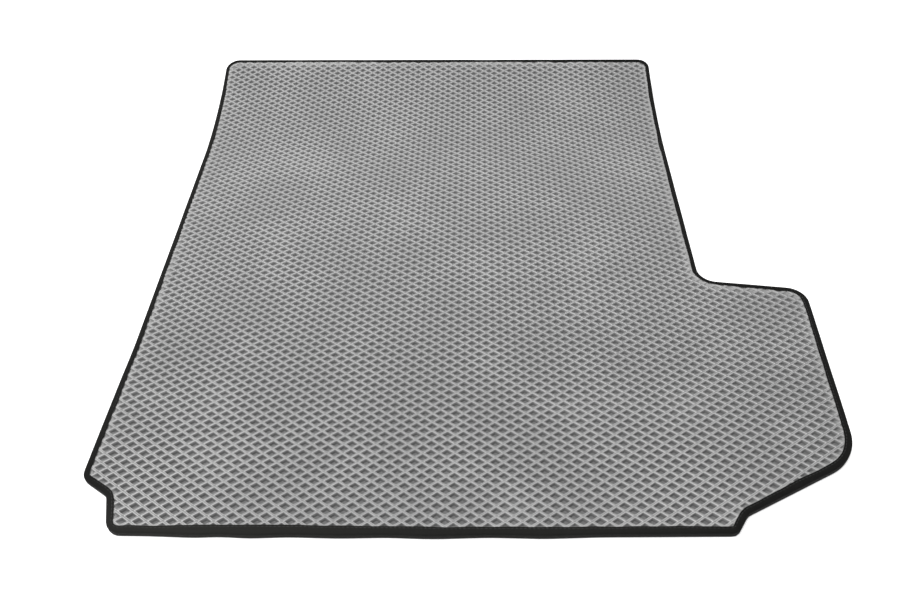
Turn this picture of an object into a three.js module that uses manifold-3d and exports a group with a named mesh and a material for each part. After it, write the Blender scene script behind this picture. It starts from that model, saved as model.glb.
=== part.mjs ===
// Boot liner for a car: one moulded foam sheet with open diamond cells on top
// and a cloth binding folded round its whole edge. Millimetres, Z up.
// The plan is drawn on the sheet laid flat, from the corner where the left side
// would meet the loading edge. X runs along the loading edge, Y to the seats.
// Last, the seat end is curled up as the foam keeps it.

import * as THREE from 'three';
import { mergeGeometries, mergeVertices } from 'three/addons/utils/BufferGeometryUtils.js';
import Module from 'manifold-3d';

const wasm = await Module();
wasm.setup();

// Plan of the finished liner, binding included.
const linerLength = 1141;      // loading edge to the far left corner
const seatEdge = 923;          // width along the seat end
const seatSlant = 18;          // far right corner lies this much nearer
const leftLean = 20;           // left side leans out towards the seats
const leanStart = 340;         // where it starts to
const archDepth = 165;         // wheel arch recess, in from the right side
const archLean = 5;            // recess side leans out towards the seats
const shoulderPlace = 438;     // outer corner of the recess, from the loading edge
const shoulderSlant = 23;      // its inner corner lies this much further
const wingLean = 19;           // right side leans in towards the loading edge
const bevelHeight = 112;       // right front corner cut off, up the side
const bevelFoot = 27.5;        // foot of that cut, up from the loading edge
const bevelRun = 165;          // and along it
const stepRun = 19;            // small step between the cut and the loading edge
const notchRun = 60;           // left front corner, along the loading edge
const notchWaist = 43;         // its inner corner, in from the side
const notchRise = 55;          // and up from the loading edge
const notchHeight = 82;        // where the notch meets the left side
const loadingBow = 3;          // loading edge bows out in its middle

// Corner radii.
const seatLeftRound = 28;
const seatRightRound = 24;
const archRound = 30;
const shoulderRound = 32;
const bevelRound = 76;
const bevelFootRound = 16;
const stepRound = 12;
const notchOuterRound = 20;
const notchInnerRound = 14;
const loadingRound = 22;
const leanRound = 900;
const loadingBowRound = 20000;

// Foam sheet.
const sheetThickness = 10;     // to the tops of the cell walls
const floorThickness = 3;
const cellWidth = 22;          // across, wall line to wall line
const cellLength = 15;
const cellsPerPocket = 4;      // every fourth wall line is cut as solid walls
const wallTop = 3.6;
const wallFoot = 5.2;
const cellShiftX = -2.5;       // a wall crossing, from the origin of the plan
const cellShiftY = 2;
const leastShare = 0.12;       // smaller scraps of a cell stay solid at the rim
const rimWidth = 1.7;          // solid foam between the binding and the cells

// Edge binding, a folded tape.
const tapeThickness = 1.2;
const tapeOverlap = 9.5;       // how far it reaches over the foam
const tapeHeight = 11.2;       // outside, over both faces
const foldRound = 2.6;         // outer edge of the fold
const clearance = 0.4;         // foam to tape
const joinPlace = 573;         // where the two ends of the tape meet, from the left
const joinLength = 46;
const joinThinning = 0.6;      // only one layer of tape there
const joinRamp = 4;

// Curl of the seat end.
const curlStart = 820;
const curlRadius = 1050;
const curlStep = 36;           // length of one facet of the curl

const arcStep = 12;            // degrees of a rounded corner per facet

const foamColour = '#8d8f90';
const tapeColour = '#232324';

// The twelve corners of the plan, anticlockwise, each with its radius.
function planCorners() {
  const seatRight = seatEdge - leftLean;
  const archSide = seatRight - archLean;
  const shoulderTip = archSide + archDepth;
  const wingFoot = shoulderTip - wingLean;
  const bevelEnd = wingFoot - bevelRun;
  const stepEnd = bevelEnd - stepRun;
  return [
    [notchRun, 0, loadingRound],
    [(notchRun + stepEnd) / 2, -loadingBow, loadingBowRound],
    [stepEnd, 0, stepRound],
    [bevelEnd, bevelFoot, bevelFootRound],
    [wingFoot, bevelHeight, bevelRound],
    [shoulderTip, shoulderPlace, shoulderRound],
    [archSide, shoulderPlace + shoulderSlant, archRound],
    [seatRight, linerLength - seatSlant, seatRightRound],
    [-leftLean, linerLength, seatLeftRound],
    [0, leanStart, leanRound],
    [0, notchHeight, notchOuterRound],
    [notchWaist, notchRise, notchInnerRound],
  ];
}

// Stations round the plan: a point and the outward normal there.
function planStations() {
  const corners = planCorners().map(([x, y, round]) => ({ at: new THREE.Vector2(x, y), round }));
  const stations = [];
  corners.forEach((corner, i) => {
    const before = corners.at(i - 1).at;
    const after = corners[(i + 1) % corners.length].at;
    const into = corner.at.clone().sub(before).normalize();
    const out = after.clone().sub(corner.at).normalize();
    const turn = Math.atan2(into.cross(out), into.dot(out));
    const side = Math.sign(turn);
    const start = corner.at.clone().addScaledVector(into, -corner.round * Math.tan(Math.abs(turn) / 2));
    const inward = new THREE.Vector2(-into.y, into.x).multiplyScalar(side);
    const centre = start.clone().addScaledVector(inward, corner.round);
    const count = Math.max(1, Math.ceil(THREE.MathUtils.radToDeg(Math.abs(turn)) / arcStep));
    for (let k = 0; k <= count; k++) {
      const away = start.clone().sub(centre).rotateAround(new THREE.Vector2(), turn * k / count);
      const normal = away.clone().normalize().multiplyScalar(side);
      stations.push({ at: centre.clone().add(away), normal, thin: 0 });
    }
  });
  return stations;
}

// Adds the four stations of the join, on the straight run of the seat end.
function withJoin(stations) {
  const from = stations.findIndex((s, i) => {
    const next = stations[(i + 1) % stations.length];
    return s.at.x > joinPlace && next.at.x < joinPlace && s.at.y > linerLength / 2;
  });
  const a = stations[from];
  const b = stations[(from + 1) % stations.length];
  const places = [
    [joinPlace, 0],
    [joinPlace - joinRamp, 1],
    [joinPlace - joinLength + joinRamp, 1],
    [joinPlace - joinLength, 0],
  ];
  const extra = places.map(([x, thin]) => ({
    at: a.at.clone().lerp(b.at, (a.at.x - x) / (a.at.x - b.at.x)),
    normal: a.normal.clone(),
    thin,
  }));
  return [...stations.slice(0, from + 1), ...extra, ...stations.slice(from + 1)];
}

function insetPoint(station, inset) {
  return station.at.clone().addScaledVector(station.normal, -inset);
}

// A flat plate with the plan's outline moved in by inset.
function plate(stations, inset, low, high) {
  const shape = new THREE.Shape(stations.map((s) => insetPoint(s, inset)));
  const geometry = new THREE.ExtrudeGeometry(shape, { depth: high - low, bevelEnabled: false });
  return tidy(geometry.translate(0, 0, low));
}

// Keeps positions only and joins equal corners.
function tidy(geometry) {
  const bare = geometry.clone();
  bare.deleteAttribute('normal');
  bare.deleteAttribute('uv');
  return mergeVertices(bare, 1e-4);
}

function toSolid(geometry) {
  return new wasm.Manifold(new wasm.Mesh({
    numProp: 3,
    vertProperties: new Float32Array(geometry.attributes.position.array),
    triVerts: new Uint32Array(geometry.index.array),
  }));
}

function fromSolid(solid) {
  const mesh = solid.getMesh();
  const geometry = new THREE.BufferGeometry();
  geometry.setAttribute('position', new THREE.BufferAttribute(mesh.vertProperties, 3));
  geometry.setIndex(new THREE.BufferAttribute(mesh.triVerts, 1));
  return geometry;
}

// One pocket: a diamond narrowing to the floor, run out past the wall tops.
function pocket(x, y) {
  const halfWidth = cellWidth * cellsPerPocket / 2;
  const halfLength = cellLength * cellsPerPocket / 2;
  const reach = halfWidth * halfLength / Math.hypot(halfWidth, halfLength);
  const draft = (wallFoot - wallTop) / 2 / (sheetThickness - floorThickness);
  const past = wallTop / 4 / draft;
  const levels = [
    [floorThickness, wallFoot / 2],
    [sheetThickness + past, wallTop / 2 - past * draft],
  ];
  const points = levels.flatMap(([z, inset]) => {
    const share = 1 - inset / reach;
    const w = halfWidth * share;
    const l = halfLength * share;
    return [[x + w, y, z], [x, y + l, z], [x - w, y, z], [x, y - l, z]];
  });
  const faces = [
    0, 2, 1, 0, 3, 2, 4, 5, 6, 4, 6, 7,
    0, 1, 5, 0, 5, 4, 1, 2, 6, 1, 6, 5,
    2, 3, 7, 2, 7, 6, 3, 0, 4, 3, 4, 7,
  ];
  const geometry = new THREE.BufferGeometry();
  geometry.setAttribute('position', new THREE.Float32BufferAttribute(points.flat(), 3));
  geometry.setIndex(faces);
  return geometry;
}

function isInside(polygon, x, y) {
  let inside = false;
  polygon.forEach((p, i) => {
    const q = polygon.at(i - 1);
    const crosses = (p.y > y) !== (q.y > y);
    if (crosses && x < p.x + (y - p.y) / (q.y - p.y) * (q.x - p.x)) inside = !inside;
  });
  return inside;
}

// The share of a diamond that lies inside the polygon, from a grid of points.
function shareInside(polygon, x, y, halfWidth, halfLength) {
  const steps = [-0.8, -0.4, 0, 0.4, 0.8];
  let hits = 0;
  for (const s of steps) {
    for (const t of steps) {
      if (isInside(polygon, x + (s + t) / 2 * halfWidth, y + (s - t) / 2 * halfLength)) hits++;
    }
  }
  return hits / steps.length ** 2;
}

// All pockets of the field, one closed body each.
function pockets(field) {
  const halfWidth = cellWidth * cellsPerPocket / 2;
  const halfLength = cellLength * cellsPerPocket / 2;
  const box = new THREE.Box2().setFromPoints(field);
  const found = [];
  for (let i = Math.floor(box.min.x / halfWidth) - 1; i * halfWidth < box.max.x + halfWidth; i++) {
    for (let j = Math.floor(box.min.y / halfLength) - 1; j * halfLength < box.max.y + halfLength; j++) {
      if ((i + j) % 2 === 0) continue;
      const x = cellShiftX + i * halfWidth;
      const y = cellShiftY + j * halfLength;
      if (shareInside(field, x, y, halfWidth, halfLength) >= leastShare) found.push(pocket(x, y));
    }
  }
  return mergeGeometries(found);
}

// The sheet: thinned under the tape, full thickness inside it, pockets cut out.
function foamSheet(stations) {
  const skin = tapeThickness + clearance;
  const fieldInset = tapeOverlap + clearance + rimWidth;
  const edge = toSolid(plate(stations, skin, skin, tapeHeight - skin));
  const body = toSolid(plate(stations, tapeOverlap + clearance, 0, sheetThickness));
  const field = toSolid(plate(stations, fieldInset, 0, sheetThickness + tapeHeight));
  const cells = toSolid(pockets(stations.map((s) => insetPoint(s, fieldInset))));
  return fromSolid(edge.add(body).subtract(cells.intersect(field)));
}

// Section of the tape as inset and height; the outer side is pulled in by thin.
function tapeSection(thin) {
  const low = thin;
  const high = tapeHeight - thin;
  const side = thin;
  const t = tapeThickness;
  const r = foldRound;
  const cut = r * (1 - Math.SQRT1_2);
  return [
    [tapeOverlap, high],
    [tapeOverlap, tapeHeight - t],
    [t, tapeHeight - t],
    [t, t],
    [tapeOverlap, t],
    [tapeOverlap, low],
    [side + r, low],
    [side + cut, low + cut],
    [side, low + r],
    [side, high - r],
    [side + cut, high - cut],
    [side + r, high],
  ];
}

// The tape: its section carried round the plan as one closed loop.
function edgeBinding(stations) {
  const points = [];
  const index = [];
  const rings = stations.map((s) => tapeSection(s.thin * joinThinning)
    .map(([inset, z]) => [...insetPoint(s, inset).toArray(), z]));
  const n = rings[0].length;
  rings.forEach((ring, i) => {
    points.push(...ring.flat());
    const next = (i + 1) % rings.length;
    for (let k = 0; k < n; k++) {
      const a = i * n + k;
      const b = i * n + (k + 1) % n;
      const c = next * n + k;
      const d = next * n + (k + 1) % n;
      index.push(a, d, b, a, c, d);
    }
  });
  const geometry = new THREE.BufferGeometry();
  geometry.setAttribute('position', new THREE.Float32BufferAttribute(points, 3));
  geometry.setIndex(index);
  return geometry;
}

// The facet line of the curl at which the edge a, b is cut, if it is too long.
function facetLine(a, b) {
  const low = Math.min(a.y, b.y);
  const high = Math.max(a.y, b.y);
  const margin = curlStep / 4;
  const start = Math.max(low, curlStart);
  if (high - start < margin || high - low < 1.5 * curlStep) return null;
  const middle = (start + high) / 2;
  let line = curlStart + Math.floor((middle - curlStart) / curlStep) * curlStep;
  if (line - low < margin) line += curlStep;
  return line - low < margin || high - line < margin ? null : line;
}

// The point where the edge a, b meets the line, the same from both ends.
function crossing(a, b, line) {
  const [low, high] = a.y < b.y ? [a, b] : [b, a];
  return low.clone().lerp(high, (line - low.y) / (high.y - low.y));
}

// Cuts triangles at the facet lines until none is too long for the curl.
function faceted(triangles) {
  const left = [...triangles];
  const done = [];
  while (left.length) {
    const tri = left.pop();
    const edges = tri.map((p, k) => [p, tri[(k + 1) % 3], tri[(k + 2) % 3]]);
    const long = edges.filter(([a, b]) => facetLine(a, b) !== null);
    if (!long.length) {
      done.push(tri);
      continue;
    }
    const [a, b, c] = long.sort((e, f) => Math.abs(f[0].y - f[1].y) - Math.abs(e[0].y - e[1].y))[0];
    const cut = crossing(a, b, facetLine(a, b));
    left.push([a, cut, c], [cut, b, c]);
  }
  return done;
}

// Lays a point of the flat sheet on the curl.
function curled(point) {
  const along = point.y - curlStart;
  if (along <= 0) return point.clone();
  const angle = along / curlRadius;
  const radius = curlRadius - point.z;
  return new THREE.Vector3(
    point.x,
    curlStart + radius * Math.sin(angle),
    curlRadius - radius * Math.cos(angle),
  );
}

// Curls the seat end of a flat body up, in facets of curlStep.
function curl(geometry) {
  const bare = geometry.toNonIndexed();
  const place = bare.attributes.position;
  const points = Array.from(
    { length: place.count },
    (_, i) => new THREE.Vector3().fromBufferAttribute(place, i),
  );
  const triangles = Array.from({ length: points.length / 3 }, (_, i) => points.slice(3 * i, 3 * i + 3));
  const bent = new THREE.BufferGeometry();
  const flat = faceted(triangles).flat().flatMap((p) => curled(p).toArray());
  bent.setAttribute('position', new THREE.Float32BufferAttribute(flat, 3));
  return mergeVertices(bent, 1e-4);
}

function namedMesh(name, geometry, colour, roughness) {
  const material = new THREE.MeshStandardMaterial({ color: colour, roughness, metalness: 0, flatShading: true });
  const mesh = new THREE.Mesh(geometry, material);
  mesh.name = name;
  return mesh;
}

function bootLiner() {
  const stations = planStations();
  const foam = curl(foamSheet(stations));
  const tape = curl(edgeBinding(withJoin(stations)));
  tape.computeBoundingBox();
  const middle = tape.boundingBox.getCenter(new THREE.Vector3());
  const low = tape.boundingBox.min.z;
  const liner = new THREE.Group();
  liner.name = 'boot_liner';
  for (const body of [foam, tape]) body.translate(-middle.x, -middle.y, -low);
  liner.add(namedMesh('eva_sheet', foam, foamColour, 0.85));
  liner.add(namedMesh('edge_binding', tape, tapeColour, 0.9));
  return liner;
}

export default bootLiner();
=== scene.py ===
import math

import bpy
import numpy as np
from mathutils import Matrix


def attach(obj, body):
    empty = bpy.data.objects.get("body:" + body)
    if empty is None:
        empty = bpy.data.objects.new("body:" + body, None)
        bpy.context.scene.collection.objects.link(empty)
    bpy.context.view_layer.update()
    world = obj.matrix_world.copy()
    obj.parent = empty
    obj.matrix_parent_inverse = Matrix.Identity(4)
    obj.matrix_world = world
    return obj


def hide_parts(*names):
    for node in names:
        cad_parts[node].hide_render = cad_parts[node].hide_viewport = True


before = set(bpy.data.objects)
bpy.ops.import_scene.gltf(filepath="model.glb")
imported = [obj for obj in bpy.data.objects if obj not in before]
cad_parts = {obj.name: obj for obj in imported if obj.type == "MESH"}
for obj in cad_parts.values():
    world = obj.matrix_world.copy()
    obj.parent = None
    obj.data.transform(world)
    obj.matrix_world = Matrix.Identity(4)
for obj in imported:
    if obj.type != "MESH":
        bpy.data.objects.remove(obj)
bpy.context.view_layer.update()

# Boot liner: one foam sheet with open diamond cells, bound all round with a black
# tape. Each piece is made flat, in metres, on the plan of the sheet laid out, and
# is then laid down with its seat end curled up. The plan starts where the left
# side would meet the loading edge, with X along that edge and Y to the seats.


# Small helpers.

hairline = 1e-4  # what is thinner counts as nothing


def linearColour(code):
    # sRGB hex to the linear colour that a shader takes
    values = [int(code[i:i + 2], 16) / 255 for i in (1, 3, 5)]
    return [v / 12.92 if v < 0.04045 else ((v + 0.055) / 1.055) ** 2.4 for v in values] + [1.0]


def addNode(tree, kind, inputs=None, **settings):
    # a node with its settings; an input is a value, a socket to link from, or a
    # node, which is linked from the first output that it shows
    node = tree.nodes.new(kind)
    for name, value in settings.items():
        setattr(node, name, value)
    for key, value in (inputs or {}).items():
        if isinstance(value, bpy.types.Node):
            value = next(socket for socket in value.outputs if socket.enabled)
        if isinstance(value, bpy.types.NodeSocket):
            tree.links.new(value, node.inputs[key])
        else:
            node.inputs[key].default_value = value
    return node


def smooth(values, low, high):
    # 0 up to low, 1 from high, eased in between
    t = np.clip((values - low) / (high - low), 0, 1)
    return t * t * (3 - 2 * t)


def newMesh(name, points, faces):
    mesh = bpy.data.meshes.new(name)
    mesh.from_pydata([tuple(p) for p in points], [], [tuple(f) for f in faces])
    mesh.validate()
    return mesh


def addObject(name, data):
    piece = bpy.data.objects.new(name, data)
    bpy.context.scene.collection.objects.link(piece)
    return piece


def setFloats(mesh, name, values):
    layer = mesh.attributes.new(name, "FLOAT", "POINT")
    layer.data.foreach_set("value", np.asarray(values, np.float32))


def newMaterial(name):
    # an empty material and its tree
    material = bpy.data.materials.new(name)
    material.use_nodes = True
    material.node_tree.nodes.clear()
    return material, material.node_tree


# Camera, where the photograph was taken from.

cameraSetup = {
    "place": (0.024531, -1.094899, 0.939553),
    "turn": (45.0839, 1.5121, 0.9451),  # degrees
    "lens": 32.087,  # millimetres, on a sensor this wide
    "sensor": 36.0,
    "nearest": 0.01,
}


def setCamera():
    data = bpy.data.cameras.new("photoCamera")
    data.lens = cameraSetup["lens"]
    data.sensor_width = cameraSetup["sensor"]
    data.clip_start = cameraSetup["nearest"]
    camera = addObject("photoCamera", data)
    camera.location = cameraSetup["place"]
    camera.rotation_euler = [math.radians(a) for a in cameraSetup["turn"]]
    bpy.context.scene.camera = camera


setCamera()
print("camera set")


# Plan of the liner, the same as the solids'.

plan = {
    "length": 1.141,
    "seatEdge": 0.923,
    "seatSlant": 0.018,
    "leftLean": 0.020,
    "leanStart": 0.340,
    "archDepth": 0.165,
    "archLean": 0.005,
    "shoulderPlace": 0.438,
    "shoulderSlant": 0.023,
    "wingLean": 0.019,
    "bevelHeight": 0.112,
    "bevelFoot": 0.0275,
    "bevelRun": 0.165,
    "stepRun": 0.019,
    "notchRun": 0.060,
    "notchWaist": 0.043,
    "notchRise": 0.055,
    "notchHeight": 0.082,
    "loadingBow": 0.003,
    # how round each corner is, anticlockwise from the right end of the notch
    "radii": (0.022, 20.0, 0.012, 0.016, 0.076, 0.032, 0.030, 0.024, 0.028, 0.900, 0.020, 0.014),
    "cornerStep": 4,  # degrees from point to point round a corner
    "stationStep": 0.006,  # and metres along the whole line, once it is rounded
    "middle": (0.5210063, 0.5664113),  # what lies over the origin
    "curlStart": 0.820,
    "curlRadius": 1.050,
}


def planCorners():
    # anticlockwise: place and radius
    seatRight = plan["seatEdge"] - plan["leftLean"]
    archSide = seatRight - plan["archLean"]
    shoulderTip = archSide + plan["archDepth"]
    wingFoot = shoulderTip - plan["wingLean"]
    bevelEnd = wingFoot - plan["bevelRun"]
    stepEnd = bevelEnd - plan["stepRun"]
    places = [
        (plan["notchRun"], 0),
        ((plan["notchRun"] + stepEnd) / 2, -plan["loadingBow"]),
        (stepEnd, 0),
        (bevelEnd, plan["bevelFoot"]),
        (wingFoot, plan["bevelHeight"]),
        (shoulderTip, plan["shoulderPlace"]),
        (archSide, plan["shoulderPlace"] + plan["shoulderSlant"]),
        (seatRight, plan["length"] - plan["seatSlant"]),
        (-plan["leftLean"], plan["length"]),
        (0, plan["leanStart"]),
        (0, plan["notchHeight"]),
        (plan["notchWaist"], plan["notchRise"]),
    ]
    return [(x, y, radius) for (x, y), radius in zip(places, plan["radii"])]


def planLine():
    # corners rounded, then stations one step apart: their places, outward normals
    # and lengths along the line, from the notch on the left of the loading edge
    corners = planCorners()
    line = []
    for i, (x, y, radius) in enumerate(corners):
        at = np.array((x, y))
        into = at - corners[i - 1][:2]
        out = np.array(corners[(i + 1) % len(corners)][:2]) - at
        into, out = into / np.linalg.norm(into), out / np.linalg.norm(out)
        turn = math.atan2(into[0] * out[1] - into[1] * out[0], into @ out)
        start = at - into * radius * math.tan(abs(turn) / 2)
        centre = start + np.array((-into[1], into[0])) * radius * np.sign(turn)
        count = max(2, math.ceil(math.degrees(abs(turn)) / plan["cornerStep"]))
        for k in range(count + 1):
            c, s = math.cos(turn * k / count), math.sin(turn * k / count)
            away = start - centre
            line.append(centre + (c * away[0] - s * away[1], s * away[0] + c * away[1]))
    line = np.array(line)
    gaps = np.linalg.norm(np.roll(line, -1, 0) - line, axis=1)
    along = np.concatenate([[0], np.cumsum(gaps)])
    count = round(along[-1] / plan["stationStep"])
    places = np.arange(count) * along[-1] / count
    closed = np.vstack([line, line[:1]])
    at = np.stack([np.interp(places, along, closed[:, k]) for k in (0, 1)], 1)
    tangent = np.roll(at, -1, 0) - np.roll(at, 1, 0)
    tangent /= np.linalg.norm(tangent, axis=1)[:, None]
    return at, np.stack([tangent[:, 1], -tangent[:, 0]], 1), places, along[-1]


edgeAt, edgeOut, edgeAlong, edgeLength = planLine()


def depthInside(points):
    # how far inside the plan's edge each point lies; outside is negative
    nearest = np.full(len(points), np.inf)
    inside = np.zeros(len(points), bool)
    x, y = points[:, 0], points[:, 1]
    for a, b in zip(edgeAt, np.roll(edgeAt, -1, 0)):
        d = b - a
        t = np.clip(((x - a[0]) * d[0] + (y - a[1]) * d[1]) / (d @ d), 0, 1)
        nearest = np.minimum(nearest, np.hypot(x - a[0] - t * d[0], y - a[1] - t * d[1]))
        if a[1] != b[1]:
            crosses = (a[1] > y) != (b[1] > y)
            inside ^= crosses & (x < a[0] + (y - a[1]) * d[0] / d[1])
    return np.where(inside, nearest, -nearest)


def layDown(points):
    # the flat sheet's points where the curled sheet has them
    past = np.maximum(points[:, 1] - plan["curlStart"], 0) / plan["curlRadius"]
    reach = plan["curlRadius"] - points[:, 2]
    placed = points.copy()
    placed[:, 1] = np.minimum(points[:, 1], plan["curlStart"]) + reach * np.sin(past)
    placed[:, 2] = plan["curlRadius"] - reach * np.cos(past)
    placed[:, :2] -= plan["middle"]
    return placed


def wander(along, seed, waves, length):
    # a smooth closed wave round the edge, mostly within one either way
    random = np.random.default_rng(seed)
    total = np.zeros_like(along)
    for k in range(1, waves + 1):
        total += random.normal() * np.sin(2 * math.pi * (k * along / length + random.random()))
    return total / math.sqrt(waves)


# Foam sheet: its cells are one diamond, repeated over the plan.

foamSheet = {
    "thickness": 0.010,
    "cellWidth": 0.022,
    "cellLength": 0.015,
    "crossing": (-0.0025, 0.002),  # one crossing of the walls, on the plan
    # from the middle of a wall: how far off it, how high, how round the corners
    "wallProfile": [
        (0.00060, 0.00997, 0.0003),
        (0.00180, 0.00895, 0.0004),
        (0.00245, 0.00500, 0.0005),
        (0.00275, 0.00310, 0.0006),
    ],
    "firstColumn": -4,  # half cells, counted from that crossing
    "columns": 106,  # enough to pass the plan at its widest
    # three pieces, each between two of these limits, by their cells' middles
    "pieces": ("evaCellsLoading", "evaCellsMiddle", "evaCellsSeats"),
    "limits": (-0.1, 0.372, 0.760, 1.3),
    "weld": 0.00002,
    "rim": 0.0024,  # where the foam ends inside the binding
    "seamStart": 0.0065,  # from the edge: the seam squeezes the cells flat up to here
    "seamFade": 0.012,  # and less and less over this width
    "seamLift": 0.80,  # share of their depth lost beside it
    "seamSink": 0.0007,  # how far it pulls the wall tops down
    "underLift": 0.0016,  # the underside lies so high on the tape
    "underFade": (0.0095, 0.0125),  # and comes down to the ground between these
    # painted glints on the walls' top edges near the corners of the loading edge: where, how far
    # round
    "handled": ((0.09, 0.05, 0.13), (0.80, 0.05, 0.12)),
    "frontShadeTo": 0.62,  # painted shade in the cells, deepest at the loading edge, ever less up to here
}


def cellMesh():
    # one cell with its half of each wall, seen from above as a diamond
    a, b = foamSheet["cellWidth"] / 2, foamSheet["cellLength"] / 2
    side = a * b / math.hypot(a, b)
    top = foamSheet["thickness"]
    points = [(a, 0, top), (0, b, top), (-a, 0, top), (0, -b, top)]
    faces = []
    for inset, height, radius in foamSheet["wallProfile"]:
        k = 1 - inset / side
        sharp = radius * a / b  # tangent length at the pointed corners
        blunt = radius * b / a
        ux, uy = a / math.hypot(a, b), b / math.hypot(a, b)
        ring = []
        for sx, sy, cx, cy, cut in ((1, 0, a * k, 0, sharp), (0, 1, 0, b * k, blunt),
                                    (-1, 0, -a * k, 0, sharp), (0, -1, 0, -b * k, blunt)):
            for turn in (-1, 1):
                if sx:
                    ring.append((cx - sx * ux * cut, sx * turn * uy * cut, height))
                else:
                    ring.append((-sy * turn * ux * cut, cy - sy * uy * cut, height))
        start = len(points)
        points += ring
        if start == 4:
            for i in range(4):
                j = (i + 1) % 4
                faces.append((i, j, 4 + 2 * j, 5 + 2 * i))
                faces.append((i, 5 + 2 * i, 4 + 2 * i))
        else:
            for i in range(8):
                j = (i + 1) % 8
                faces.append((start - 8 + i, start - 8 + j, start + j, start + i))
    faces.append(tuple(range(len(points) - 8, len(points))))
    start = len(points)
    points += [(a, 0, 0), (0, b, 0), (-a, 0, 0), (0, -b, 0)]
    faces.append((start + 3, start + 2, start + 1, start))
    return newMesh("cell", points, faces)


def newTree(name, sockets):
    # an empty geometry tree with named inputs
    tree = bpy.data.node_groups.new(name, "GeometryNodeTree")
    tree.interface.new_socket("Geometry", in_out="INPUT", socket_type="NodeSocketGeometry")
    for socket, kind in sockets:
        tree.interface.new_socket(socket, in_out="INPUT", socket_type="NodeSocket" + kind)
    tree.interface.new_socket("Geometry", in_out="OUTPUT", socket_type="NodeSocketGeometry")
    return tree, tree.nodes.new("NodeGroupInput").outputs


def grow(mesh, tree, inputs):
    # runs the tree on a mesh and gives back the result as a plain mesh
    piece = addObject(tree.name, mesh)
    modifier = piece.modifiers.new(tree.name, "NODES")
    modifier.node_group = tree
    identifiers = {s.name: s.identifier for s in tree.interface.items_tree if s.in_out == "INPUT"}
    for name, value in inputs.items():
        modifier[identifiers[name]] = value
    bpy.context.view_layer.update()
    evaluated = piece.evaluated_get(bpy.context.evaluated_depsgraph_get())
    result = bpy.data.meshes.new_from_object(evaluated)
    piece.modifiers.clear()
    bpy.data.objects.remove(piece)
    return result


def cellTree():
    # a grid of half cells; every other point that lies over the plan gets a cell
    tree, given = newTree("diamondCells", [
        ("Half Cell", "Vector"), ("Crossing", "Vector"), ("First", "Vector"), ("Columns", "Int"),
        ("Rows", "Int"), ("Plan", "Object"), ("Reach", "Float"), ("Weld", "Float"),
        ("Foam", "Material")])
    half, crossing = given["Half Cell"], given["Crossing"]
    across = addNode(tree, "ShaderNodeMath", {0: given["Columns"], 1: 1.0}, operation="SUBTRACT")
    along = addNode(tree, "ShaderNodeMath", {0: given["Rows"], 1: 1.0}, operation="SUBTRACT")
    counts = addNode(tree, "ShaderNodeCombineXYZ", {0: across, 1: along})
    size = addNode(tree, "ShaderNodeVectorMath", {0: counts, 1: half}, operation="MULTIPLY")
    sides = addNode(tree, "ShaderNodeSeparateXYZ", {0: size}).outputs
    grid = addNode(tree, "GeometryNodeMeshGrid", {
        "Size X": sides["X"], "Size Y": sides["Y"], "Vertices X": given["Columns"],
        "Vertices Y": given["Rows"]})
    start = addNode(tree, "ShaderNodeVectorMath", {0: given["First"], 1: half},
                    operation="MULTIPLY")
    corner = addNode(tree, "ShaderNodeVectorMath", {0: crossing, 1: start}, operation="ADD")
    centre = addNode(tree, "ShaderNodeVectorMath", {0: size, 1: (0.5, 0.5, 0.0)},
                     operation="MULTIPLY")
    middle = addNode(tree, "ShaderNodeVectorMath", {0: corner, 1: centre}, operation="ADD")
    placed = addNode(tree, "GeometryNodeTransform", {"Geometry": grid, "Translation": middle})

    # a place with an odd number of half cells from the crossing is a cell's middle
    at = addNode(tree, "GeometryNodeInputPosition")
    way = addNode(tree, "ShaderNodeVectorMath", {0: at, 1: crossing}, operation="SUBTRACT")
    steps = addNode(tree, "ShaderNodeVectorMath", {0: way, 1: half}, operation="DIVIDE")
    total = addNode(tree, "ShaderNodeVectorMath", {0: steps, 1: (1.0, 1.0, 0.0)},
                    operation="DOT_PRODUCT")
    swing = addNode(tree, "ShaderNodeMath", {0: total, 1: 1.0}, operation="PINGPONG")
    odd = addNode(tree, "ShaderNodeMath", {0: swing, 1: 0.5}, operation="GREATER_THAN")
    sheet = addNode(tree, "GeometryNodeObjectInfo", {"Object": given["Plan"]}).outputs["Geometry"]
    away = addNode(tree, "GeometryNodeProximity", {"Geometry": sheet},
                   target_element="FACES").outputs["Distance"]
    near = addNode(tree, "ShaderNodeMath", {0: away, 1: given["Reach"]}, operation="LESS_THAN")
    chosen = addNode(tree, "FunctionNodeBooleanMath", {0: odd, 1: near})

    cells = addNode(tree, "GeometryNodeInstanceOnPoints", {
        "Points": placed, "Selection": chosen, "Instance": given["Geometry"]})
    real = addNode(tree, "GeometryNodeRealizeInstances", {"Geometry": cells})
    welded = addNode(tree, "GeometryNodeMergeByDistance", {
        "Geometry": real, "Distance": given["Weld"]})
    done = addNode(tree, "GeometryNodeSetMaterial", {
        "Geometry": welded, "Material": given["Foam"]})
    addNode(tree, "NodeGroupOutput", {0: done})
    return tree


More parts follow.
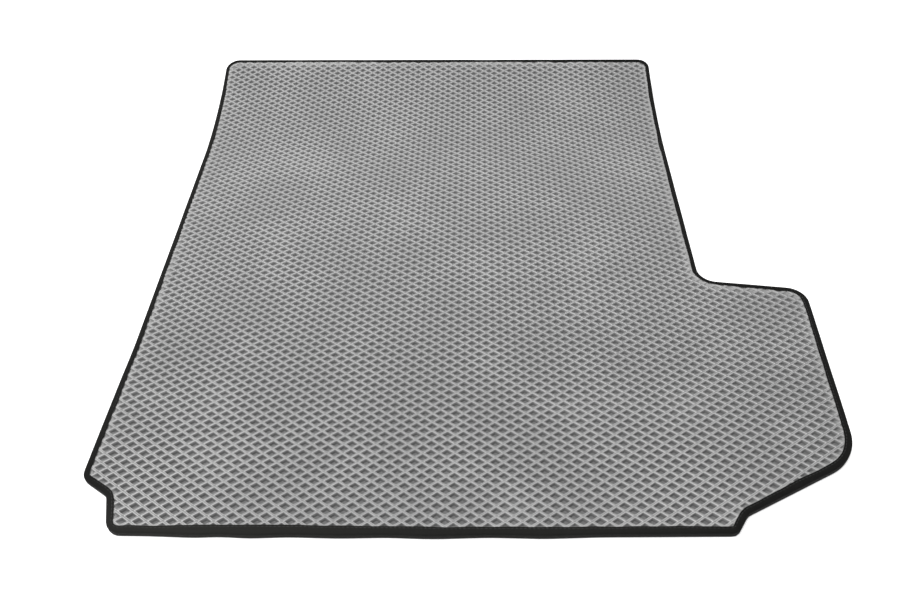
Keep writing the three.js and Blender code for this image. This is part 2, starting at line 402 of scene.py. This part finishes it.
def trimmed(points, triangles, rim):
    # cuts the sheet on the line that lies the rim's width inside the plan's edge,
    # and closes its side down to the underside
    depth = depthInside(points) - rim
    depth[np.abs(depth) < hairline / 2] = hairline / 2
    inside = depth > 0
    count = inside[triangles].sum(1)
    faces = [tuple(t) for t in triangles[count == 3]]
    added, cuts, feet = [], {}, {}

    def cut(i, j):
        key = (min(i, j), max(i, j))
        if key not in cuts:
            cuts[key] = len(points) + len(added)
            added.append(points[i] + (points[j] - points[i]) * depth[i] / (depth[i] - depth[j]))
        return cuts[key]

    def foot(i):
        if i not in feet:
            feet[i] = len(points) + len(added)
            added.append(added[i - len(points)] * (1, 1, 0))
        return feet[i]

    for t in triangles[(count == 1) | (count == 2)]:
        t = [int(i) for i in t]
        alone = inside[t].sum() == 1
        while inside[t[0]] != alone or inside[t[1]] == alone or inside[t[2]] == alone:
            t = t[1:] + t[:1]
        a, b, c = t  # a is the one on its own side of the line
        p, q = cut(a, b), cut(a, c)
        if alone:
            faces.append((a, p, q))
        else:
            faces += [(b, c, q), (b, q, p)]
            p, q = q, p
        if added[p - len(points)][2] > hairline:
            faces.append((q, p, foot(p), foot(q)))
    points = np.vstack([points, added])
    used = np.unique([i for f in faces for i in f])
    place = np.full(len(points), -1)
    place[used] = np.arange(len(used))
    return points[used], [[place[i] for i in f] for f in faces]


def squeezed(points):
    # the seam squeezes the foam, so the cells beside the binding are shallow, and
    # holds it up by the thickness of the tape below
    depth = depthInside(points)
    start = foamSheet["seamStart"]
    seam = 1 - smooth(depth, start, start + foamSheet["seamFade"])
    under = points[:, 2] < hairline
    top = foamSheet["thickness"] - foamSheet["seamSink"] * seam
    below = (foamSheet["thickness"] - points[:, 2]) * (1 - foamSheet["seamLift"] * seam)
    lift = foamSheet["underLift"] * (1 - smooth(depth, *foamSheet["underFade"]))
    result = points.copy()
    result[:, 2] = np.where(under, lift, top - below)
    return result, seam


def cornerGlintShare(points):
    # from 1 where the painted glint on the wall edges is strongest to 0 where there is none
    total = np.zeros(len(points))
    for x, y, reach in foamSheet["handled"]:
        total += np.exp(-((points[:, 0] - x) ** 2 + (points[:, 1] - y) ** 2) / reach ** 2)
    return np.minimum(total, 1)


# Closed-cell EVA foam, hot moulded: matt, a dense skin with fine pores, palest along both
# edges of the walls' flat tops, a painted highlight, and painted shade down on the cells' floors.

foamLook = {
    "wall": "#969696",
    # painted shade: the cells' floors darker than their walls and flat tops
    "floor": "#7e7e7e",
    # deeper painted shade on the cells' walls and floors near the loading edge
    "frontShadeWall": "#838383",
    "frontShadeFloor": "#767676",
    # painted highlight along both edges of the walls' flat tops, full in random patches
    "edge": "#cecece",
    "dullEdge": "#bcbcbc",  # the painted highlight, weaker, outside those patches
    # painted glint on the wall edges near the corners of the loading edge
    "cornerGlintEdge": "#dcdcdb",
    "top": "#848484",
    "dustAndSeamLight": "#b4b4b3",  # painted light beside the seam, and dull pale patches of dust
    # between these shares of the thickness one tone turns into the next
    "toWall": (0.40, 0.80),
    "toEdge": (0.905, 0.95),
    "toTop": (0.965, 0.993),
    "patch": 0.14,  # metres across
    "patchFullHighlight": (0.35, 0.65),  # levels of the noise that make a patch
    "patchFaded": (0.52, 0.74),
    "patchShare": 0.14,  # how faded it is
    # how strong the painted light beside the seam is
    "seamLightShare": 0.55,
    "grain": 0.0022,
    "grainLevels": (0.3, 0.7),
    "grainContrast": 0.07,
    "grainBump": (0.3, 0.0003),  # strength and depth
    "pore": 0.0006,
    "poreBump": (0.25, 0.0001),
    "roughness": 0.55,
    "ior": 1.48,
    "specular": 0.35,
}


def foamMaterial():
    material, tree = newMaterial("mouldedClosedCellEva")
    at = addNode(tree, "ShaderNodeTexCoord").outputs["Object"]
    level, seam, soil, handled = [
        addNode(tree, "ShaderNodeAttribute", attribute_name=name).outputs["Fac"]
        for name in ("wallLevel", "seam", "soil", "handled")]
    patches = addNode(tree, "ShaderNodeTexNoise", {
        "Vector": at, "Scale": 1 / foamLook["patch"], "Detail": 3.0}).outputs["Fac"]
    grain = addNode(tree, "ShaderNodeTexNoise", {
        "Vector": at, "Scale": 1 / foamLook["grain"], "Detail": 2.0}).outputs["Fac"]
    pores = addNode(tree, "ShaderNodeTexVoronoi", {
        "Vector": at, "Scale": 1 / foamLook["pore"]}).outputs["Distance"]

    # random patches where the painted highlight on the wall edges is at full strength
    low, high = foamLook["patchFullHighlight"]
    paintedLight = addNode(tree, "ShaderNodeMapRange", {0: patches, 1: low, 2: high},
                     interpolation_type="SMOOTHSTEP")
    tone = {name: linearColour(foamLook[name]) for name in (
        "wall", "floor", "frontShadeWall", "frontShadeFloor", "edge", "dullEdge", "cornerGlintEdge", "top",
        "dustAndSeamLight")}
    for name, amount, start, end in (
            # painted shade in the cells, deeper towards the loading edge
            ("floor", soil, "floor", "frontShadeFloor"), ("wall", soil, "wall", "frontShadeWall"),
            # painted highlight on the wall edges, then painted glints near the loading edge's
            # corners
            ("edge", paintedLight, "dullEdge", "edge"), ("edge", handled, "edge", "cornerGlintEdge")):
        tone[name] = addNode(tree, "ShaderNodeMix", {0: amount, 6: tone[start], 7: tone[end]},
                             data_type="RGBA")

    # from the floor of a cell up to its wall's flat top, then what lies over all of it
    # the floor's tone is painted shade
    body = tone["floor"]
    for value, (low, high), share, name in (
            (level, foamLook["toWall"], 1.0, "wall"), (level, foamLook["toEdge"], 1.0, "edge"),
            (level, foamLook["toTop"], 1.0, "top"),
            # painted light beside the seam, where the squeezed cells are shallow
            (seam, (0.0, 1.0), foamLook["seamLightShare"], "dustAndSeamLight"),
            (patches, foamLook["patchFaded"], foamLook["patchShare"], "dustAndSeamLight")):
        amount = addNode(tree, "ShaderNodeMapRange", {0: value, 1: low, 2: high, 4: share},
                         interpolation_type="SMOOTHSTEP")
        body = addNode(tree, "ShaderNodeMix", {0: amount, 6: body, 7: tone[name]},
                       data_type="RGBA")
    low, high = foamLook["grainLevels"]
    speckle = addNode(tree, "ShaderNodeMapRange", {
        0: grain, 1: low, 2: high, 3: 1 - foamLook["grainContrast"],
        4: 1 + foamLook["grainContrast"]})
    body = addNode(tree, "ShaderNodeMix", {0: 1.0, 6: body, 7: speckle}, data_type="RGBA",
                   blend_type="MULTIPLY")

    strength, depth = foamLook["poreBump"]
    skin = addNode(tree, "ShaderNodeBump", {
        "Strength": strength, "Distance": depth, "Height": pores})
    strength, depth = foamLook["grainBump"]
    skin = addNode(tree, "ShaderNodeBump", {
        "Strength": strength, "Distance": depth, "Height": grain, "Normal": skin})
    shader = addNode(tree, "ShaderNodeBsdfPrincipled", {
        "Base Color": body, "Roughness": foamLook["roughness"], "IOR": foamLook["ior"],
        "Specular IOR Level": foamLook["specular"], "Normal": skin})
    addNode(tree, "ShaderNodeOutputMaterial", {"Surface": shader})
    return material


# Edge binding: a woven tape folded over the sheet's edge and sewn through.

binding = {
    "height": 0.0112,  # over both faces of the sheet
    "overlap": 0.0095,  # how far it reaches over the foam, as the solids have it
    # how far it reaches on top, by length along the edge from the left of the
    # loading edge, because it is guided round by hand
    "reach": ((0.00, 0.0098), (0.08, 0.0105), (0.14, 0.0125), (0.22, 0.0130), (0.36, 0.0118),
              (0.46, 0.0105), (0.80, 0.0102), (0.95, 0.0108), (1.06, 0.0100), (1.30, 0.0095),
              (1.40, 0.0080), (1.48, 0.0070), (1.55, 0.0082), (1.70, 0.0088), (2.15, 0.0085),
              (2.30, 0.0072), (2.45, 0.0064), (2.60, 0.0070), (2.75, 0.0062), (2.90, 0.0056),
              (3.05, 0.0068), (3.20, 0.0088), (3.60, 0.0082), (4.10, 0.0086)),
    "unevenness": 0.0005,  # of that reach, with its waves round the edge and its seed
    "unevenWaves": 90,
    "unevenSeed": 11,
    "sway": 0.0002,  # how far the whole tape sways in, with the same
    "swayWaves": 40,
    "swaySeed": 5,
    # how far its loose folds stand out, by the same length
    "bulge": ((0.06, 0.0), (0.122, 0.0020), (0.158, 0.0003), (0.195, 0.0022), (0.25, 0.0002),
              (0.311, 0.0014), (0.37, 0.0), (0.43, 0.0018), (0.50, 0.0), (0.571, 0.0018),
              (0.64, 0.0)),
    # painted light on the tape, as a share by length along the edge: most on the loading edge
    "rub": ((0.00, 0.9), (0.12, 1.0), (0.30, 0.7), (0.45, 0.5), (0.62, 0.55), (0.76, 0.35),
            (0.82, 0.05), (2.30, 0.0), (2.50, 0.15), (3.05, 0.25), (3.30, 0.35), (4.05, 0.40),
            (4.14, 0.25)),
    "seamInset": 0.0024,  # stitches, from the tape's inner edge
    "joinFrom": 0.573,  # its two ends meet on the seat end, from the left
    "joinTo": 0.527,
    "joinThinning": 0.0006,
    "thinnedFrom": 0.3,  # share of its height off the middle: only the faces are thinned
    # its section: a leg as shares of its length and depths under the face, and the
    # fold between the legs as how far in from the edge and how far from the face
    "foldWidth": 0.0026,
    "underLeg": [(1.0, 0.00035), (0.93, 0.0), (0.62, 0.0), (0.25, 0.0)],
    "fold": [(0.0022, 0.00005), (0.0010, 0.00045), (0.0003, 0.0013), (0.0, 0.0028)],
    "topLeg": [(0.25, 0.0), (0.55, 0.00015), (0.72, 0.0005), (0.80, 0.0005), (0.93, 0.0003),
               (1.0, 0.0006)],
    "topInside": [(1.0, 0.0011), (0.5, 0.0012)],
    "foldInside": [(0.0022, 0.00125), (0.00125, 0.0022)],
    "underInside": [(0.5, 0.0012), (1.0, 0.0011)],
    "cutEdge": 0.001,  # width of its cut edge on the UV map
}


def tapeProfile(reach, thin):
    # the folded tape's outline across the edge: in from the outside, and up;
    # from the underside round the fold to the top, then back along the foam
    height, overlap, folded = binding["height"], binding["overlap"], binding["foldWidth"]
    fold, inside = binding["fold"], binding["foldInside"]

    def leg(name, length):
        return [(folded + (length - folded) * share, depth) for share, depth in binding[name]]

    def fromTop(part):
        return [(across, height - depth) for across, depth in part]

    outer = leg("underLeg", overlap) + fold + [(0.0, height / 2)]
    outer += fromTop(fold[::-1] + leg("topLeg", reach))
    inner = fromTop(leg("topInside", reach) + inside)
    inner += inside[::-1] + leg("underInside", overlap)
    for i, (across, up) in enumerate(outer):
        middle = 0.5 - up / height
        if abs(middle) > binding["thinnedFrom"]:
            up += 2 * thin * middle
        outer[i] = (max(across, thin), up)
    return outer + inner


def bindingMesh():
    spots, reaches = zip(*binding["reach"])
    reach = np.interp(edgeAlong, spots, reaches, period=edgeLength)
    reach += binding["unevenness"] * wander(edgeAlong, binding["unevenSeed"],
                                            binding["unevenWaves"], edgeLength)
    bulge = np.interp(edgeAlong, *zip(*binding["bulge"]))
    bulge = sum(np.roll(bulge, k) for k in (-2, -1, 0, 1, 2)) / 5  # evened out
    sway = binding["sway"] * wander(edgeAlong, binding["swaySeed"], binding["swayWaves"],
                                    edgeLength)
    sway = np.maximum(sway, 0)
    x, y = edgeAt.T
    atJoin = (y > plan["curlStart"]) & (x < binding["joinFrom"]) & (x > binding["joinTo"])
    thin = np.where(atJoin, binding["joinThinning"], 0.0)
    points, uv, size = [], [], 0
    for k, (at, out) in enumerate(zip(edgeAt, edgeOut)):
        section = tapeProfile(reach[k], thin[k])
        size = len(section)
        walked = 0.0
        for i, (across, up) in enumerate(section):
            if i:
                walked += math.dist(section[i], section[i - 1])
            pushed = bulge[k] if across < binding["foldWidth"] else 0.0
            points.append((*(at - out * (across + sway[k] - pushed)), up))
            uv.append((edgeAlong[k], walked))
    count = len(edgeAt)
    faces, corners = [], []
    for k in range(count):
        n = (k + 1) % count
        behind = edgeAlong[k]
        ahead = edgeAlong[n] if n else edgeLength
        for i in range(size):
            j = (i + 1) % size
            faces.append((k * size + i, n * size + i, n * size + j, k * size + j))
            low = uv[k * size + i][1]
            high = uv[k * size + j][1] if j else low + binding["cutEdge"]
            corners += [(behind, low), (ahead, low), (ahead, high), (behind, high)]
    mesh = newMesh("edgeBinding", layDown(np.array(points)), faces)
    mesh.uv_layers.new(name="tape").data.foreach_set("uv", np.array(corners, np.float32).ravel())
    # share of painted light on the tape along the edge
    rub = np.interp(edgeAlong, *zip(*binding["rub"]), period=edgeLength)
    setFloats(mesh, "rub", np.repeat(rub, size))
    return mesh, reach


# Polyester tape, plain woven and dyed black: a dull grosgrain with ribs across it.

tapeLook = {
    "colour": "#090908",
    "worn": "#121211",
    # the tape where painted light lies on it
    "paintedLight": "#242422",
    "rib": 0.0011,  # drawn twice as coarse as the real one, to show at all
    "waveBands": 3.1831,  # in a metre of a wave texture at scale 1
    "warpFineness": 1.6,  # threads along the tape to one rib
    "weaveShade": (0.82, 1.12),  # between the threads and on them
    "weaveBump": (0.5, 0.0002),  # strength and depth
    "wearSize": 0.012,
    "wearLevels": (0.45, 0.75),
    "wearShare": 0.7,
    "roughness": 0.78,
    "ior": 1.5,
    "specular": 0.1,
    "sheen": 0.02,
}


def tapeMaterial():
    material, tree = newMaterial("wovenPolyesterTape")
    along = addNode(tree, "ShaderNodeUVMap", uv_map="tape")
    at = addNode(tree, "ShaderNodeTexCoord").outputs["Object"]
    scale = 1 / tapeLook["rib"] / tapeLook["waveBands"]
    ribs = addNode(tree, "ShaderNodeTexWave", {
        "Vector": along, "Scale": scale, "Distortion": 0.6, "Detail": 1.0},
        wave_type="BANDS", bands_direction="X").outputs["Fac"]
    warp = addNode(tree, "ShaderNodeTexWave", {
        "Vector": along, "Scale": scale * tapeLook["warpFineness"]},
        wave_type="BANDS", bands_direction="Y").outputs["Fac"]
    weave = addNode(tree, "ShaderNodeMath", {0: ribs, 1: warp}, operation="ADD")
    fluff = addNode(tree, "ShaderNodeTexNoise", {
        "Vector": at, "Scale": 1 / tapeLook["wearSize"], "Detail": 4.0}).outputs["Fac"]
    low, high = tapeLook["wearLevels"]
    wear = addNode(tree, "ShaderNodeMapRange", {
        0: fluff, 1: low, 2: high, 4: tapeLook["wearShare"]})
    rub = addNode(tree, "ShaderNodeAttribute", attribute_name="rub").outputs["Fac"]
    dark, light = tapeLook["weaveShade"]
    shade = addNode(tree, "ShaderNodeMapRange", {0: weave, 2: 2.0, 3: dark, 4: light})
    body = addNode(tree, "ShaderNodeMix", {
        0: wear, 6: linearColour(tapeLook["colour"]), 7: linearColour(tapeLook["worn"])},
        data_type="RGBA")
    # painted light on the tape, most on the loading edge
    body = addNode(tree, "ShaderNodeMix", {0: rub, 6: body, 7: linearColour(tapeLook["paintedLight"])},
                   data_type="RGBA")
    body = addNode(tree, "ShaderNodeMix", {0: 1.0, 6: body, 7: shade}, data_type="RGBA",
                   blend_type="MULTIPLY")
    strength, depth = tapeLook["weaveBump"]
    relief = addNode(tree, "ShaderNodeBump", {
        "Strength": strength, "Distance": depth, "Height": weave})
    shader = addNode(tree, "ShaderNodeBsdfPrincipled", {
        "Base Color": body, "Roughness": tapeLook["roughness"], "IOR": tapeLook["ior"],
        "Specular IOR Level": tapeLook["specular"], "Sheen Weight": tapeLook["sheen"],
        "Sheen Roughness": 0.5, "Normal": relief})
    addNode(tree, "ShaderNodeOutputMaterial", {"Surface": shader})
    return material


# Stitches: lockstitch in black thread, through the tape and the foam.

stitching = {
    "pitch": 0.0055,
    "length": 0.0044,
    "thickness": 0.00062,
    "sides": 6,
    # the hump of one stitch: place along it, size and lift, as shares of half its
    # length and of the thread's radius
    "hump": ((-1, 0.35, -0.9), (-0.72, 0.9, 0.1), (0, 1, 0.35), (0.72, 0.9, 0.1),
             (1, 0.35, -0.9)),
    "topDip": 0.0005,  # how far the tape's two faces dip where the stitches lie
    "underDip": 0.00035,
    "sunk": 0.00012,  # and how far the thread lies in them
    "jitter": 0.05,  # how far a stitch stands askew
    "seed": 3,
}


def stitchMesh():
    # one stitch, a short hump of thread that dips into the tape at both ends
    points, faces = [], []
    half, radius = stitching["length"] / 2, stitching["thickness"] / 2
    sides, rings = stitching["sides"], len(stitching["hump"])
    for along, size, lift in stitching["hump"]:
        for k in range(sides):
            a = math.tau * k / sides
            points.append((along * half, radius * size * math.cos(a),
                           radius * (size * math.sin(a) + lift)))
    for start in range(0, (rings - 1) * sides, sides):
        for k in range(sides):
            n = (k + 1) % sides
            faces.append((start + k, start + n, start + sides + n, start + sides + k))
    faces += [tuple(range(sides - 1, -1, -1)), tuple(range((rings - 1) * sides, rings * sides))]
    return newMesh("stitch", points, faces)


def stitchTree():
    # along each line, one stitch every pitch, turned to follow it
    tree, given = newTree("lockstitch", [
        ("Pitch", "Float"), ("Stitch", "Object"), ("Jitter", "Float"), ("Seed", "Int"),
        ("Thread", "Material")])
    line = addNode(tree, "GeometryNodeMeshToCurve", {"Mesh": given["Geometry"]})
    even = addNode(tree, "GeometryNodeResampleCurve", {"Curve": line, "Length": given["Pitch"]},
                   mode="LENGTH")
    tangent = addNode(tree, "GeometryNodeInputTangent")
    spread = addNode(tree, "FunctionNodeRandomValue", {2: -1.0, 3: 1.0, "Seed": given["Seed"]},
                     data_type="FLOAT")
    turn = addNode(tree, "ShaderNodeMath", {0: spread, 1: given["Jitter"]}, operation="MULTIPLY")
    askew = addNode(tree, "ShaderNodeCombineXYZ", {0: 0.0, 1: turn, 2: 0.0})
    heading = addNode(tree, "ShaderNodeVectorMath", {0: tangent, 1: askew}, operation="ADD")
    facing = addNode(tree, "FunctionNodeAlignRotationToVector", {"Vector": heading}, axis="X",
                     pivot_axis="Z")
    stitch = addNode(tree, "GeometryNodeObjectInfo", {
        "Object": given["Stitch"]}).outputs["Geometry"]
    sewn = addNode(tree, "GeometryNodeInstanceOnPoints", {
        "Points": even, "Instance": stitch, "Rotation": facing})
    real = addNode(tree, "GeometryNodeRealizeInstances", {"Geometry": sewn})
    done = addNode(tree, "GeometryNodeSetMaterial", {
        "Geometry": real, "Material": given["Thread"]})
    addNode(tree, "NodeGroupOutput", {0: done})
    return tree


def seamLines(reach):
    # the seam on top of the tape and the one under it, on the flat plan
    count = len(edgeAt)
    inset, sunk = binding["seamInset"], stitching["sunk"]
    points, edges = [], []
    for across, up in (
            (reach - inset, binding["height"] - stitching["topDip"] - sunk),
            (np.full(count, binding["overlap"] - inset), stitching["underDip"] + sunk)):
        start = len(points)
        points += [(x, y, up) for x, y in edgeAt - edgeOut * across[:, None]]
        edges += [(start + i, start + (i + 1) % count) for i in range(count)]
    mesh = bpy.data.meshes.new("seamLines")
    mesh.from_pydata(points, edges, [])
    return mesh


# Bonded polyester thread, dyed black: a little shinier and paler than the tape.

threadLook = {
    "colour": "#1c1c1d",
    "strand": "#303031",
    "twist": 0.0004,
    "twistBump": (0.4, 0.0001),  # strength and depth
    "roughness": 0.55,
    "ior": 1.55,
}


def threadMaterial():
    material, tree = newMaterial("bondedPolyesterThread")
    at = addNode(tree, "ShaderNodeTexCoord").outputs["Object"]
    twist = addNode(tree, "ShaderNodeTexNoise", {
        "Vector": at, "Scale": 1 / threadLook["twist"]}).outputs["Fac"]
    body = addNode(tree, "ShaderNodeMix", {
        0: twist, 6: linearColour(threadLook["colour"]), 7: linearColour(threadLook["strand"])},
        data_type="RGBA")
    strength, depth = threadLook["twistBump"]
    relief = addNode(tree, "ShaderNodeBump", {
        "Strength": strength, "Distance": depth, "Height": twist})
    shader = addNode(tree, "ShaderNodeBsdfPrincipled", {
        "Base Color": body, "Roughness": threadLook["roughness"], "IOR": threadLook["ior"],
        "Normal": relief})
    addNode(tree, "ShaderNodeOutputMaterial", {"Surface": shader})
    return material


# Making the pieces.

def foamPieces(foam):
    # grown flat, cut to the plan, squeezed beside the seam and laid down
    half = (foamSheet["cellWidth"] / 2, foamSheet["cellLength"] / 2)
    crossing = foamSheet["crossing"]
    area = newMesh("planArea", [(x, y, 0) for x, y in edgeAt], [range(len(edgeAt))])
    area = addObject("planArea", area)
    tree = cellTree()
    pieces = []
    rows = [round((y - crossing[1]) / half[1]) for y in foamSheet["limits"]]
    for name, first, last in zip(foamSheet["pieces"], rows, rows[1:]):
        grown = grow(cellMesh(), tree, {
            "Half Cell": (half[0], half[1], 1.0), "Crossing": (crossing[0], crossing[1], 0.0),
            "First": (float(foamSheet["firstColumn"]), float(first), 0.0),
            "Columns": foamSheet["columns"], "Rows": last - first, "Plan": area,
            "Reach": half[0], "Weld": foamSheet["weld"], "Foam": foam})
        grown.calc_loop_triangles()
        points = np.empty(len(grown.vertices) * 3)
        grown.vertices.foreach_get("co", points)
        triangles = np.empty(len(grown.loop_triangles) * 3, int)
        grown.loop_triangles.foreach_get("vertices", triangles)
        points, faces = trimmed(points.reshape(-1, 3), triangles.reshape(-1, 3),
                                foamSheet["rim"])
        level = points[:, 2] / foamSheet["thickness"]
        # smooth shading all over, but for the flat floors of the cells and the underside
        rounded = [max(level[f]) >= 0.5 or max(level[f]) - min(level[f]) >= hairline
                   for f in faces]
        # painted glints near the corners of the loading edge
        handled = cornerGlintShare(points)
        # painted shade in the cells, deepest at the loading edge
        soil = 1 - smooth(points[:, 1], 0.0, foamSheet["frontShadeTo"])
        points, seam = squeezed(points)
        mesh = newMesh(name, layDown(points), faces)
        mesh.polygons.foreach_set("use_smooth", rounded)
        setFloats(mesh, "wallLevel", level)
        # closeness to the seam, where the material paints the foam paler: painted light
        setFloats(mesh, "seam", seam)
        setFloats(mesh, "handled", handled)
        setFloats(mesh, "soil", soil)
        mesh.materials.append(foam)
        pieces.append(addObject(name, mesh))
        print(name, len(faces), "faces")
    bpy.data.objects.remove(area)
    return pieces


def bindingPieces():
    mesh, reach = bindingMesh()
    mesh.polygons.foreach_set("use_smooth", [True] * len(mesh.polygons))
    mesh.materials.append(tapeMaterial())
    tape = addObject("edgeBinding", mesh)
    stitch = addObject("stitch", stitchMesh())
    grown = grow(seamLines(reach), stitchTree(), {
        "Pitch": stitching["pitch"], "Stitch": stitch, "Jitter": stitching["jitter"],
        "Seed": stitching["seed"], "Thread": threadMaterial()})
    bpy.data.objects.remove(stitch)
    points = np.empty(len(grown.vertices) * 3)
    grown.vertices.foreach_get("co", points)
    grown.vertices.foreach_set("co", layDown(points.reshape(-1, 3)).ravel())
    grown.polygons.foreach_set("use_smooth", [True] * len(grown.polygons))
    return tape, addObject("bindingStitches", grown)


foamSkin = foamMaterial()
sheetPieces = foamPieces(foamSkin)
print("foam sheet made")
tape, stitches = bindingPieces()
print("binding and stitches made")

for piece in sheetPieces:
    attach(piece, "root")
    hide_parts("eva_sheet")
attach(tape, "root")
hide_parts("edge_binding")
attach(stitches, "root")


# Studio: a pale floor and even light from all round, and three soft lamps.

studio = {
    "floor": "#f2f2f2",
    "span": 14.0,  # from the middle to each side
    "drop": 0.0002,  # just under the liner
    "mottle": (0.85, 0.95),  # between these it varies in roughness
    "lift": 0.66,  # the camera and mirror rays see the floor this much brighter
    "sky": 0.34,  # light on the liner; the camera sees white
    "lamps": (  # place, aimed at the liner's middle; size and watts
        ((-0.85, -0.7, 4.0), 1.0, 104.0),
        ((-0.6, 1.3, 2.4), 1.2, 27.0),
        ((-1.3, -2.2, 0.9), 0.6, 5.0),
    ),
}


def seenRays(tree):
    # 1 on the rays by which the camera sees a backdrop, also in a reflection, else 0
    light = addNode(tree, "ShaderNodeLightPath").outputs
    return addNode(tree, "ShaderNodeMath", {
        0: light["Is Camera Ray"], 1: light["Is Glossy Ray"]}, operation="MAXIMUM")


def floorMaterial():
    material, tree = newMaterial("paintedStudioFloor")
    at = addNode(tree, "ShaderNodeTexCoord").outputs["Object"]
    mottle = addNode(tree, "ShaderNodeTexNoise", {"Vector": at, "Scale": 3.0}).outputs["Fac"]
    low, high = studio["mottle"]
    rough = addNode(tree, "ShaderNodeMapRange", {0: mottle, 3: low, 4: high})
    paint = addNode(tree, "ShaderNodeBsdfPrincipled", {
        "Base Color": linearColour(studio["floor"]), "Roughness": rough,
        "Specular IOR Level": 0.1})
    power = addNode(tree, "ShaderNodeMath", {0: seenRays(tree), 1: studio["lift"]},
                    operation="MULTIPLY")
    glow = addNode(tree, "ShaderNodeEmission", {"Color": (1, 1, 1, 1), "Strength": power})
    both = addNode(tree, "ShaderNodeAddShader", {0: paint, 1: glow})
    addNode(tree, "ShaderNodeOutputMaterial", {"Surface": both})
    return material


def addStudio():
    span = studio["span"]
    mesh = newMesh("studioFloor", [(-span, -span, 0), (span, -span, 0), (span, span, 0),
                                   (-span, span, 0)], [(0, 1, 2, 3)])
    mesh.materials.append(floorMaterial())
    floor = addObject("studioFloor", mesh)
    floor.location.z = -studio["drop"]
    world = bpy.data.worlds.new("studioSky")
    bpy.context.scene.world = world
    world.use_nodes = True
    tree = world.node_tree
    tree.nodes.clear()
    power = addNode(tree, "ShaderNodeMapRange", {0: seenRays(tree), 3: studio["sky"], 4: 1.0})
    sky = addNode(tree, "ShaderNodeBackground", {"Color": (1, 1, 1, 1), "Strength": power})
    addNode(tree, "ShaderNodeOutputWorld", {"Surface": sky})
    for k, (place, size, watts) in enumerate(studio["lamps"]):
        data = bpy.data.lights.new(f"softbox{k}", "AREA")
        data.shape = "DISK"
        data.size = size
        data.energy = watts
        lamp = addObject(data.name, data)
        lamp.location = place
        lamp.rotation_euler = (-lamp.location).to_track_quat("-Z", "Y").to_euler()


addStudio()
bpy.context.scene.view_settings.view_transform = "Standard"
print("studio set")
